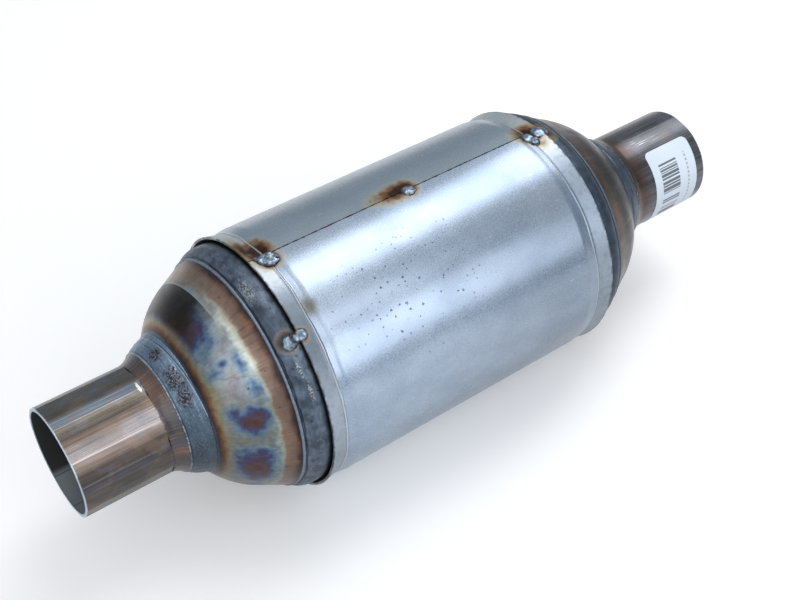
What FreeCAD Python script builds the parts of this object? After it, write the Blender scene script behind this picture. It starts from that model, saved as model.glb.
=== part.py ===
"""Weld-in catalytic converter with a round can, two dished cones and a wrapped heat shield.

Frame: millimetres, +X along the gas path, +Z up, origin at the centre of the inlet mouth.
Angles round the body are counted from the top (+Z) towards the -Y side.
"""
import FreeCAD, Part
import math
import os

from FreeCAD import Vector

# ---- pipes ----------------------------------------------------------------------------------
pipe_bore_d = 45.0            # slips over a 45 mm exhaust pipe
pipe_wall = 1.5
inlet_grip_length = 37.5      # straight part of the inlet stub
outlet_grip_length = 40.5     # straight part of the outlet stub
root_flare_rise = 3.9         # how far the root of a stub is belled out
root_flare_angle = 37.5
root_spigot_length = 4.5      # straight end of the root inside the cone's collar
expander_flats = 8            # flats that the segmented expander leaves on the inlet stub
expander_flat_depth = 0.35
expander_flat_turn = 26.5     # angle of the first flat
expander_mark_length = 38.5   # the flats end here

# ---- cones ----------------------------------------------------------------------------------
cone_wall = 1.5
cone_length = 32.8            # from the collar's front edge to the middle of the ring weld
collar_length = 4.1
collar_clearance = 0.1        # radial fit of a stub's root in the collar
collar_bend_radius = 1.5
cone_dome_angle = 61.0        # slope of the dome beside the collar
cone_lip_angle = 27.0         # slope of the lip beside the can

# ---- core, mat and can ----------------------------------------------------------------------
core_d = 101.6
core_length = 152.4
core_skin = 1.6
channel_pitch = 5.2
channel_wall = 0.9
mat_thickness = 3.1
mat_seal_length = 8.0         # wire-mesh ring at each end of the mat
core_setback = 10.1           # from the middle of a ring weld to the core's face
can_wall = 1.5
can_neck_drop = 3.1           # how far the can's ends are necked down
can_shoulder_angle = 51.0
can_shoulder_radius = 7.6

# ---- welds ----------------------------------------------------------------------------------
ring_weld_width = 1.4
ring_weld_crown = 0.35
neck_weld_pipe_leg = 4.8      # reach over the stub's flare, from the collar's front edge
neck_weld_cone_leg = 5.3      # reach over the collar and the dome
neck_weld_throat = 0.6        # cover over the collar's front edge

# ---- heat shield ----------------------------------------------------------------------------
shield_wall = 1.0
shield_air_gap = 1.0
shield_seat_clearance = 0.1   # under the rolled grooves
shield_skirt_gap = 1.5        # under the open edges
shield_setback = 10.5         # from the middle of a ring weld to the shield's edge
groove_setback = 6.2          # from the shield's edge to the bottom of the groove
groove_radius = 1.5
groove_ramp = 5.0
groove_ramp_radius = 16.0
seam_angle = 1.5
seam_slit = 0.4

# ---- tack welds -----------------------------------------------------------------------------
seam_tack_setback = 8.6       # from the shield's edge to the middle of the tack's wide end
seam_tack_length = 4.6        # from its wide end to its tip
seam_tack_r = 3.9
seam_tack_height = 1.4
seam_tack_tip_r = 2.2
seam_tack_tip_height = 1.0
seam_tack_turn = 2.6          # the tacks sit a little to one side of the slit
plug_weld_r = 3.5
plug_weld_height = 1.1
plug_weld_offset = 2.7        # from the middle of the shield
edge_tack_can_r = 3.3
edge_tack_can_height = 2.3
edge_tack_can_reach = 3.8     # from the shield's edge out over the can
edge_tack_shield_r = 2.6
edge_tack_shield_height = 1.2
edge_tack_shield_reach = 1.2  # from the shield's edge back over the shield
inlet_edge_tack_angles = (39.5, 160.0, 280.0)
outlet_edge_tack_angles = (4.4, 160.0, 280.0)

# ---- label ----------------------------------------------------------------------------------
label_width = 27.6
label_start_angle = 27.0
label_wrap_angle = 112.0
label_thickness = 0.15
label_corner_radius = 3.0
label_setback = 5.0           # from the outlet mouth to the label's edge

# ---- sizes that follow ----------------------------------------------------------------------
pipe_r = pipe_bore_d / 2 + pipe_wall
root_r = pipe_r + root_flare_rise
flare_diagonal = root_flare_rise / math.sin(math.radians(root_flare_angle))
flare_radius = 0.98 * flare_diagonal / 2 / math.tan(math.radians(root_flare_angle / 2))
flare_tangent = flare_radius * math.tan(math.radians(root_flare_angle / 2))
flare_length = 2 * flare_tangent + root_flare_rise / math.tan(math.radians(root_flare_angle))
collar_r = root_r + collar_clearance + cone_wall
can_bore_r = core_d / 2 + mat_thickness
can_r = can_bore_r + can_wall
joint_r = can_r - can_neck_drop
collar_x = inlet_grip_length + flare_length
ring_x = collar_x + cone_length
middle_x = ring_x + core_setback + core_length / 2
shield_r = can_r + shield_air_gap + shield_wall
shield_edge_r = can_r + shield_skirt_gap + shield_wall
shield_edge_x = ring_x + shield_setback
outlet_mouth_x = 2 * middle_x - ring_x + cone_length + flare_length + outlet_grip_length

AXIS = Vector(1, 0, 0)
ORIGIN = Vector(0, 0, 0)


# ---- tools ----------------------------------------------------------------------------------
def rounded_path(corners):
    """A wire through (x, radius, bend) corners, each bend a tangent arc."""
    points = [Vector(x, 0, r) for x, r, bend in corners]
    edges = []
    start = points[0]
    for index in range(1, len(points) - 1):
        corner, bend = points[index], corners[index][2]
        to_last = (points[index - 1] - corner).normalize()
        to_next = (points[index + 1] - corner).normalize()
        half = to_last.getAngle(to_next) / 2
        tangent = bend / math.tan(half)
        middle = (to_last + to_next).normalize()
        arc_start = corner + to_last * tangent
        arc_end = corner + to_next * tangent
        arc_middle = corner + middle * (bend / math.sin(half) - bend)
        edges.append(Part.LineSegment(start, arc_start).toShape())
        edges.append(Part.Arc(arc_start, arc_middle, arc_end).toShape())
        start = arc_end
    edges.append(Part.LineSegment(start, points[-1]).toShape())
    return Part.Wire(edges)


def inner_corners(corners, wall):
    """The same corners on the inner face of a sheet of even thickness with upright ends."""
    sides = []
    for (x0, r0, bend0), (x1, r1, bend1) in zip(corners, corners[1:]):
        slope = math.atan2(r1 - r0, x1 - x0)
        sides.append((x0, r0 - wall / math.cos(slope), math.tan(slope)))
    first_x, last_x = corners[0][0], corners[-1][0]
    inner = [(first_x, sides[0][1], 0)]
    for (x0, r0, rate0), (x1, r1, rate1), corner in zip(sides, sides[1:], corners[1:]):
        x = (r1 - r0 + rate0 * x0 - rate1 * x1) / (rate0 - rate1)
        bend = corner[2] + wall if rate1 > rate0 else corner[2] - wall
        inner.append((x, r0 + rate0 * (x - x0), bend))
    last = sides[-1]
    inner.append((last_x, last[1] + last[2] * (last_x - last[0]), 0))
    return inner


def turned_sheet(corners, wall, start_angle=0.0, turn=360.0):
    """A sheet of even thickness, turned about the gas path."""
    outer = rounded_path(corners)
    inner = rounded_path(inner_corners(corners, wall))
    outer_ends = outer.OrderedVertexes[0].Point, outer.OrderedVertexes[-1].Point
    inner_ends = inner.OrderedVertexes[0].Point, inner.OrderedVertexes[-1].Point
    rims = [Part.LineSegment(a, b).toShape() for a, b in zip(outer_ends, inner_ends)]
    face = Part.Face(Part.Wire(Part.__sortEdges__(outer.Edges + inner.Edges + rims)))
    face.rotate(ORIGIN, AXIS, start_angle)
    return face.revolve(ORIGIN, AXIS, turn)


def turned_envelope(corners):
    """The solid bar inside the outer face of a turned sheet."""
    outer = rounded_path(corners)
    first, last = outer.OrderedVertexes[0].Point, outer.OrderedVertexes[-1].Point
    ends = [
        Part.LineSegment(last, Vector(last.x, 0, 0)).toShape(),
        Part.LineSegment(Vector(last.x, 0, 0), Vector(first.x, 0, 0)).toShape(),
        Part.LineSegment(Vector(first.x, 0, 0), first).toShape(),
    ]
    return Part.Face(Part.Wire(outer.Edges + ends)).revolve(ORIGIN, AXIS, 360)


def radius_on(corners, x):
    """The outer radius of a turned sheet at one place along the gas path."""
    ruler = Part.LineSegment(Vector(x, 0, 1), Vector(x, 0, 2 * can_r)).toShape()
    distance, pairs, details = ruler.distToShape(rounded_path(corners))
    return pairs[0][0].z


def ring(x_start, x_end, inner_r, outer_r):
    """A plain ring about the gas path."""
    place = Vector(x_start, 0, 0)
    outer = Part.makeCylinder(outer_r, x_end - x_start, place, AXIS)
    return outer.cut(Part.makeCylinder(inner_r, x_end - x_start, place, AXIS))


def at_outlet(shape):
    """The mirror image of an inlet piece at the outlet end."""
    return shape.mirror(Vector(middle_x, 0, 0), AXIS)


def cap_sphere(x, surface_r, footprint, height):
    """A ball at the top of the body whose cap stands proud of a surface by its height."""
    ball_r = (footprint ** 2 + height ** 2) / (2 * height)
    return Part.makeSphere(ball_r, Vector(x, 0, surface_r + height - ball_r))


# ---- outlines, all for the inlet end ----------------------------------------------------------
def pipe_corners(grip_length):
    """Straight stub, S-shaped flare and the spigot that sits in the cone's collar."""
    bend_in = collar_x - flare_length + flare_tangent
    bend_out = collar_x - flare_tangent
    return [
        (collar_x - flare_length - grip_length, pipe_r, 0),
        (bend_in, pipe_r, flare_radius),
        (bend_out, root_r, flare_radius),
        (collar_x + root_spigot_length, root_r, 0),
    ]


def cone_corners():
    """Short collar, dished dome and straight lip."""
    dome_rate = math.tan(math.radians(cone_dome_angle))
    lip_rate = math.tan(math.radians(cone_lip_angle))
    dome_start = collar_x + collar_length
    lip_end = ring_x - ring_weld_width / 2
    lip_r = joint_r - lip_rate * ring_weld_width / 2
    lip_at_start = lip_r - lip_rate * (lip_end - dome_start)
    knee_x = dome_start + (lip_at_start - collar_r) / (dome_rate - lip_rate)
    knee_r = collar_r + dome_rate * (knee_x - dome_start)
    dome_side = math.hypot(knee_x - dome_start, knee_r - collar_r)
    lip_side = math.hypot(lip_end - knee_x, lip_r - knee_r)
    collar_tangent = collar_bend_radius * math.tan(math.radians(cone_dome_angle / 2))
    turn = math.radians(cone_dome_angle - cone_lip_angle)
    dome_radius = 0.98 * (min(dome_side, lip_side) - collar_tangent) / math.tan(turn / 2)
    return [
        (collar_x, collar_r, 0),
        (dome_start, collar_r, collar_bend_radius),
        (knee_x, knee_r, dome_radius),
        (lip_end, lip_r, 0),
    ]


def can_corners():
    """The can from end to end, both ends necked down in a rounded shoulder."""
    end_x = ring_x + ring_weld_width / 2
    shoulder_x = end_x + can_neck_drop / math.tan(math.radians(can_shoulder_angle))
    inlet_half = [(end_x, joint_r, 0), (shoulder_x, can_r, can_shoulder_radius)]
    outlet_half = [(2 * middle_x - x, r, bend) for x, r, bend in reversed(inlet_half)]
    return inlet_half + outlet_half


def shield_corners():
    """Open skirt, rolled groove that seats on the can, and the plain barrel between."""
    groove_x = shield_edge_x + groove_setback
    groove_r = can_r + shield_seat_clearance + shield_wall
    inlet_half = [
        (shield_edge_x, shield_edge_r, 0),
        (groove_x, groove_r, groove_radius),
        (groove_x + groove_ramp, shield_r, groove_ramp_radius),
    ]
    outlet_half = [(2 * middle_x - x, r, bend) for x, r, bend in reversed(inlet_half)]
    return inlet_half + outlet_half


# ---- pipes and cones --------------------------------------------------------------------------
def make_inlet_pipe():
    """Inlet stub with the flats that the segmented expander left on its outside."""
    pipe = turned_sheet(pipe_corners(inlet_grip_length), pipe_wall)
    for index in range(expander_flats):
        slab = Part.makeBox(
            expander_mark_length, 2 * pipe_r, pipe_r,
            Vector(0, -pipe_r, pipe_r - expander_flat_depth))
        slab.rotate(ORIGIN, AXIS, expander_flat_turn + index * 360 / expander_flats)
        pipe = pipe.cut(slab)
    return pipe


def make_outlet_pipe():
    """Outlet stub, plain and a little longer."""
    return at_outlet(turned_sheet(pipe_corners(outlet_grip_length), pipe_wall))


def make_inlet_cone():
    """Pressed cone with a collar for the stub and a lip for the can."""
    return turned_sheet(cone_corners(), cone_wall)


# ---- can, core and mat ------------------------------------------------------------------------
def make_canister():
    """Rolled can with both ends necked down."""
    return turned_sheet(can_corners(), can_wall)


def make_ceramic_core():
    """Honeycomb core: square channels from face to face inside a solid skin."""
    start = Vector(middle_x - core_length / 2, 0, 0)
    rim = Part.Wire(Part.makeCircle(core_d / 2, start, AXIS))
    half = (channel_pitch - channel_wall) / 2
    field_r = core_d / 2 - core_skin
    count = math.floor(field_r / channel_pitch)
    holes = []
    for row in range(-count, count + 1):
        for column in range(-count, count + 1):
            y, z = column * channel_pitch, row * channel_pitch
            if math.hypot(abs(y) + half, abs(z) + half) > field_r:
                continue
            corners = [(-half, -half), (half, -half), (half, half), (-half, half), (-half, -half)]
            holes.append(Part.makePolygon([Vector(start.x, y + a, z + b) for a, b in corners]))
    face = Part.makeFace([rim] + holes, "Part::FaceMakerBullseye")
    return face.extrude(Vector(core_length, 0, 0))


def make_support_mat():
    """Swelling mat that grips the core inside the can."""
    reach = core_length / 2 - mat_seal_length
    return ring(middle_x - reach, middle_x + reach, core_d / 2, can_bore_r)


def make_inlet_mat_seal():
    """Wire-mesh ring that keeps the gas off the mat's edge."""
    start = middle_x - core_length / 2
    return ring(start, start + mat_seal_length, core_d / 2, can_bore_r)


# ---- welds ------------------------------------------------------------------------------------
def make_inlet_ring_weld():
    """Full-depth bead between the cone's lip and the can's end."""
    cone_end = inner_corners(cone_corners(), cone_wall)[-1][1]
    can_end = inner_corners(can_corners(), can_wall)[0][1]
    half = ring_weld_width / 2
    top, root = joint_r, (cone_end + can_end) / 2
    left, right = ring_x - half, ring_x + half
    crown = Part.Arc(
        Vector(left, 0, top), Vector(ring_x, 0, top + ring_weld_crown), Vector(right, 0, top))
    face = Part.Face(Part.Wire([
        crown.toShape(),
        Part.LineSegment(Vector(right, 0, top), Vector(right, 0, root)).toShape(),
        Part.LineSegment(Vector(right, 0, root), Vector(left, 0, root)).toShape(),
        Part.LineSegment(Vector(left, 0, root), Vector(left, 0, top)).toShape(),
    ]))
    return face.revolve(ORIGIN, AXIS, 360)


def make_inlet_neck_weld():
    """Wide fillet that joins the stub's flare to the cone's collar and dome."""
    pipe = pipe_corners(inlet_grip_length)
    cone = cone_corners()
    toe_x = collar_x - neck_weld_pipe_leg
    heel_x = collar_x + neck_weld_cone_leg
    toe = Vector(toe_x, 0, radius_on(pipe, toe_x))
    heel = Vector(heel_x, 0, radius_on(cone, heel_x))
    throat = Vector(collar_x, 0, collar_r + neck_weld_throat)
    floor_r = pipe_bore_d / 2
    heel_floor = Vector(heel_x, 0, floor_r)
    toe_floor = Vector(toe_x, 0, floor_r)
    face = Part.Face(Part.Wire([
        Part.Arc(toe, throat, heel).toShape(),
        Part.LineSegment(heel, heel_floor).toShape(),
        Part.LineSegment(heel_floor, toe_floor).toShape(),
        Part.LineSegment(toe_floor, toe).toShape(),
    ]))
    band = face.revolve(ORIGIN, AXIS, 360)
    return band.cut([turned_envelope(pipe), turned_envelope(cone)])


def make_inlet_seam_tack():
    """Teardrop tack over the slit, its tip towards the shield's edge."""
    wide_x = shield_edge_x + seam_tack_setback
    tip_x = wide_x - seam_tack_length
    middle = cap_sphere(
        (wide_x + tip_x) / 2, shield_r,
        (seam_tack_r + seam_tack_tip_r) / 2, (seam_tack_height + seam_tack_tip_height) / 2)
    blob = cap_sphere(wide_x, shield_r, seam_tack_r, seam_tack_height).fuse([
        middle, cap_sphere(tip_x, shield_r, seam_tack_tip_r, seam_tack_tip_height)])
    blob.rotate(ORIGIN, AXIS, seam_angle + seam_tack_turn)
    return blob.cut(turned_envelope(shield_corners()))


def make_seam_plug_weld():
    """Round tack in the middle of the slit."""
    blob = cap_sphere(middle_x + plug_weld_offset, shield_r, plug_weld_r, plug_weld_height)
    blob.rotate(ORIGIN, AXIS, seam_angle)
    return blob.cut(turned_envelope(shield_corners()))


def make_edge_tacks(angles):
    """Tacks that bridge from the can to the shield's edge at the inlet end."""
    can_spot = cap_sphere(
        shield_edge_x - edge_tack_can_reach, can_r, edge_tack_can_r, edge_tack_can_height)
    shield_spot = cap_sphere(
        shield_edge_x + edge_tack_shield_reach, shield_edge_r,
        edge_tack_shield_r, edge_tack_shield_height)
    blob = can_spot.fuse(shield_spot)
    blob = blob.cut([turned_envelope(can_corners()), turned_sheet(shield_corners(), shield_wall)])
    tack = max(blob.Solids, key=lambda solid: solid.Volume)
    tacks = []
    for angle in angles:
        copy = tack.copy()
        copy.rotate(ORIGIN, AXIS, angle)
        tacks.append(copy)
    return Part.makeCompound(tacks)


# ---- shield and label -------------------------------------------------------------------------
def make_heat_shield():
    """Sheet wrapped once round the can, its two ends a slit apart along the top."""
    slit_angle = math.degrees(seam_slit / shield_r)
    return turned_sheet(
        shield_corners(), shield_wall, seam_angle + slit_angle / 2, 360 - slit_angle)


def label_patch(start_x, end_x, start_angle, turn):
    """A square-cornered piece of the label, wrapped round the outlet stub."""
    outer_r = pipe_r + label_thickness
    outline = Part.makePolygon([
        Vector(start_x, 0, pipe_r), Vector(end_x, 0, pipe_r),
        Vector(end_x, 0, outer_r), Vector(start_x, 0, outer_r), Vector(start_x, 0, pipe_r)])
    face = Part.Face(outline)
    face.rotate(ORIGIN, AXIS, start_angle)
    return face.revolve(ORIGIN, AXIS, turn)


def make_label():
    """Blank stick-on label with round corners, wrapped part of the way round the outlet stub."""
    end_x = outlet_mouth_x - label_setback
    start_x = end_x - label_width
    inset = label_corner_radius
    inset_angle = math.degrees(inset / pipe_r)
    end_angle = label_start_angle + label_wrap_angle
    label = label_patch(start_x + inset, end_x - inset, label_start_angle, label_wrap_angle)
    pieces = [label_patch(
        start_x, end_x, label_start_angle + inset_angle, label_wrap_angle - 2 * inset_angle)]
    skin = ring(start_x, end_x, pipe_r, pipe_r + label_thickness)
    for x in (start_x + inset, end_x - inset):
        for angle in (label_start_angle + inset_angle, end_angle - inset_angle):
            post = Part.makeCylinder(inset, 2 * pipe_r, Vector(x, 0, 0))
            post.rotate(ORIGIN, AXIS, angle)
            pieces.append(post.common(skin))
    return label.fuse(pieces).removeSplitter()


# ---- assembly ---------------------------------------------------------------------------------
def main():
    inlet_cone = make_inlet_cone()
    inlet_neck_weld = make_inlet_neck_weld()
    inlet_ring_weld = make_inlet_ring_weld()
    inlet_mat_seal = make_inlet_mat_seal()
    inlet_seam_tack = make_inlet_seam_tack()
    outlet_seam_tack = at_outlet(inlet_seam_tack)
    outlet_edge_tacks = at_outlet(make_edge_tacks(outlet_edge_tack_angles))
    nodes = {
        "inlet_pipe": make_inlet_pipe(),
        "outlet_pipe": make_outlet_pipe(),
        "inlet_cone": inlet_cone,
        "outlet_cone": at_outlet(inlet_cone),
        "inlet_neck_weld": inlet_neck_weld,
        "outlet_neck_weld": at_outlet(inlet_neck_weld),
        "inlet_ring_weld": inlet_ring_weld,
        "outlet_ring_weld": at_outlet(inlet_ring_weld),
        "canister": make_canister(),
        "ceramic_core": make_ceramic_core(),
        "support_mat": make_support_mat(),
        "inlet_mat_seal": inlet_mat_seal,
        "outlet_mat_seal": at_outlet(inlet_mat_seal),
        "heat_shield": make_heat_shield(),
        "inlet_seam_tack": inlet_seam_tack,
        "outlet_seam_tack": outlet_seam_tack,
        "seam_plug_weld": make_seam_plug_weld(),
        "inlet_edge_tacks": make_edge_tacks(inlet_edge_tack_angles),
        "outlet_edge_tacks": outlet_edge_tacks.cut(outlet_seam_tack),
        "label": make_label(),
    }
    os.makedirs("parts", exist_ok=True)
    for name, shape in nodes.items():
        shape.exportStep("parts/" + name + ".step")


main()
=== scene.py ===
import math

import bpy
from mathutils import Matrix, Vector


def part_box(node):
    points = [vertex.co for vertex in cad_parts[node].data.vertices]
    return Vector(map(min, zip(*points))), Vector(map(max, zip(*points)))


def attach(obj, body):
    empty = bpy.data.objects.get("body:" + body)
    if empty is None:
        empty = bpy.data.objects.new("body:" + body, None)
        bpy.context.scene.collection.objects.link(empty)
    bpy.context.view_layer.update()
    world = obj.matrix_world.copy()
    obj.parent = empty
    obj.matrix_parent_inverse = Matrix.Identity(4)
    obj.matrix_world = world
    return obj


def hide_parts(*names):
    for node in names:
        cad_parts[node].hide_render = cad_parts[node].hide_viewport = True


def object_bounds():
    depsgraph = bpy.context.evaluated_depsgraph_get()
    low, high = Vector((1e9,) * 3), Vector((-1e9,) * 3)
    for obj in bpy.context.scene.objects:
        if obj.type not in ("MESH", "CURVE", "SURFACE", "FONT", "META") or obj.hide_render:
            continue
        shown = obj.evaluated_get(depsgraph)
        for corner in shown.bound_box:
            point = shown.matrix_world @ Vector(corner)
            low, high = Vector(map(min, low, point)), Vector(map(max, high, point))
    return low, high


bl_info = {
    "name": "Catalytic Converter Looks",
    "version": (1, 0, 0),
    "blender": (4, 5, 0),
    "location": "3D View > Sidebar > Converter",
    "description": "Finishes and fine pieces of an inline catalytic converter, over its CAD solids",
    "category": "Object",
}

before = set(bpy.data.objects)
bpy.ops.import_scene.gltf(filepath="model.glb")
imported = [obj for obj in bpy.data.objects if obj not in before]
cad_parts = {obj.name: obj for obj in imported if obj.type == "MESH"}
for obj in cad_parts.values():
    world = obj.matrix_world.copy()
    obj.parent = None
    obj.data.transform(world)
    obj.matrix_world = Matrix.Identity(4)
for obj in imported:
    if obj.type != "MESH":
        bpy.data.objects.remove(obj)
CAD_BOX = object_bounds()

MM = 0.001  # scene units are metres; sizes and patterns below are in millimetres


def reach(node):
    """Lowest x, highest x and outer radius of a turned CAD node, in millimetres."""
    low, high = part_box(node)
    return low.x / MM, high.x / MM, high.z / MM


SHIELD_START, SHIELD_END, SHIELD_RADIUS = reach("heat_shield")
MIDDLE = (SHIELD_START + SHIELD_END) / 2
MOUTH_END = reach("outlet_pipe")[1]
WELD_START, WELD_END, WELD_RADIUS = reach("inlet_neck_weld")
BEAD_START, BEAD_END, BEAD_RADIUS = reach("inlet_ring_weld")
CORE_START, CORE_END, CORE_RADIUS = reach("ceramic_core")
CAN_RADIUS = reach("canister")[2]
LABEL_START, LABEL_END, LABEL_RADIUS = reach("label")
PIPE_RADIUS, PIPE_BORE = 24.0, 22.5  # both radii
FLAT_END = 38.5  # where the pipe's expanded grip ends and its flare begins
SEAM_ANGLE = 1.5  # degrees from the top towards the front, as all angles here
SHIELD_HALF = SHIELD_END - MIDDLE
GROOVE = SHIELD_HALF - 7.4  # from the shield's middle to the crests of its holding grooves
CONE_CREASE = 70.3  # the edge between the inlet cone's dome and its lip
CONE_RADIUS = 46.0  # half way up a cone
FLOOR_GLOW = 0.15  # emission of the floor where it is seen, so that it reads white
ROOM_LIGHT = 0.62  # strength of the plain surroundings
WELD_TOE = 26.5  # radius where a neck weld starts on the pipe
CAMERA_TURN, CAMERA_RISE = math.radians(-36.845), math.radians(42.587)
CAMERA_AIM, CAMERA_DISTANCE = Vector((162.93, -6.92, 2.41)) * MM, 567.45 * MM


def tone(red, green, blue):
    """A colour given as 0-255 display values, as the linear values that the shaders take."""
    def linear(value):
        value /= 255
        return value / 12.92 if value <= 0.04045 else ((value + 0.055) / 1.055) ** 2.4
    return linear(red), linear(green), linear(blue)


def rgba(colour):
    return (*tuple(colour)[:3], 1.0)


def colour_prop(name, description, *display):
    return bpy.props.FloatVectorProperty(
        name=name, description=description, default=tone(*display), size=3, min=0, max=1, subtype="COLOR"
    )


def length_prop(name, description, millimetres):
    return bpy.props.FloatProperty(
        name=name, description=description, default=millimetres * MM, min=0,
        subtype="DISTANCE", unit="LENGTH",
    )


class ConverterColours(bpy.types.PropertyGroup):
    """Colours of the converter's metals, oxides and label."""

    shield: colour_prop("Shield", "Aluminised sheet of the heat shield", 154, 167, 183)
    shield_dull: colour_prop("Shield, dull", "Duller clouds on the shield", 144, 158, 175)
    can: colour_prop("Can", "Dark scale on the can's shoulders", 90, 101, 115)
    can_worn: colour_prop("Can, worn", "Paler rubbed patches on the can", 128, 140, 150)
    bead: colour_prop("Ring bead", "Slate grey of the ring welds", 120, 132, 146)
    cone: colour_prop("Inlet cone", "Pressed steel under the inlet cone's temper colours", 116, 106, 100)
    cone_far: colour_prop("Outlet cone", "Pressed steel under the outlet cone's scorch", 62, 58, 56)
    weld: colour_prop("Neck weld", "Slate grey of the neck welds", 92, 108, 124)
    pipe: colour_prop("Inlet pipe", "Warm grey steel of the inlet pipe", 110, 106, 104)
    pipe_dark: colour_prop("Inlet pipe, dark", "Dark draw lines on the inlet pipe", 84, 78, 74)
    pipe_far: colour_prop("Outlet pipe", "Dark scale on the outlet pipe", 98, 100, 104)
    tack: colour_prop("Tack", "Bare weld metal of the tacks", 138, 154, 170)
    label: colour_prop("Label", "Pale paper of the label", 222, 234, 246)
    bars: colour_prop("Label bars", "Grey bars printed on the label", 72, 76, 84)
    ceramic: colour_prop("Ceramic", "Coated ceramic of the core", 150, 136, 112)
    floor: colour_prop("Floor", "Pale studio floor", 216, 218, 220)


class ConverterSizes(bpy.types.PropertyGroup):
    """Sizes of the fine pieces that are modelled over the CAD solids."""

    cell_pitch: length_prop("Cell pitch", "Distance between the core's channels", 1.27)
    cell_wall: length_prop("Cell wall", "Thickness of the core's walls", 0.2)
    bead_ripple: length_prop("Bead ripple", "Unevenness of the ring welds", 0.25)
    weld_ripple: length_prop("Weld ripple", "Unevenness of the neck welds", 0.22)
    tack_grain: length_prop("Tack grain", "Size of the steps in a tack's remeshed skin", 0.22)
    lens: bpy.props.FloatProperty(
        name="Lens", description="Focal length of the camera", default=57.41, unit="CAMERA"
    )


# --- finishes


class Wire:
    """A number that a shader node gives, so that a pattern reads as a formula."""

    def __init__(self, tree, socket):
        self.tree = tree
        self.socket = socket

    def __add__(self, other):
        return self.tree.math("ADD", self, other)

    def __sub__(self, other):
        return self.tree.math("SUBTRACT", self, other)

    def __rsub__(self, other):
        return self.tree.math("SUBTRACT", other, self)

    def __mul__(self, other):
        return self.tree.math("MULTIPLY", self, other)

    def __truediv__(self, other):
        return self.tree.math("DIVIDE", self, other)

    def __abs__(self):
        return self.tree.math("ABSOLUTE", self)


class Tree:
    """Adds nodes to the tree of a material or of the surroundings."""

    def __init__(self, owner):
        owner.use_nodes = True
        self.nodes, self.links = owner.node_tree.nodes, owner.node_tree.links

    def set(self, socket, value):
        if isinstance(value, Wire):
            value = value.socket
        if isinstance(value, bpy.types.NodeSocket):
            self.links.new(value, socket)
        else:
            socket.default_value = value

    def add(self, kind, settings=(), **inputs):
        node = self.nodes.new("ShaderNode" + kind)
        for name, value in dict(settings).items():
            setattr(node, name, value)
        for name, value in inputs.items():
            self.set(node.inputs[name.replace("_", " ")], value)
        return node

    def math(self, operation, *values):
        node = self.add("Math", {"operation": operation})
        for socket, value in zip(node.inputs, values):
            self.set(socket, value)
        return Wire(self, node.outputs[0])

    def ramp(self, value, *stops):
        """Colours along a value from 0 to 1, from stops of (place, display colour, cover)."""
        node = self.add("ValToRGB", Fac=value)
        band = node.color_ramp
        while len(band.elements) < len(stops):
            band.elements.new(1.0)
        for element, (place, display, *cover) in zip(band.elements, stops):
            element.position = place
            element.color = (*tone(*display), cover[0] if cover else 1.0)
        return node.outputs["Color"], Wire(self, node.outputs["Alpha"])

    def seen(self):
        """1 for what the camera sees, straight or mirrored or through glass, and 0 for what only lights."""
        path = self.add("LightPath").outputs
        seen = self.math("MAXIMUM", path["Is Camera Ray"], path["Is Glossy Ray"])
        return self.math("MAXIMUM", seen, path["Is Transmission Ray"])


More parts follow.
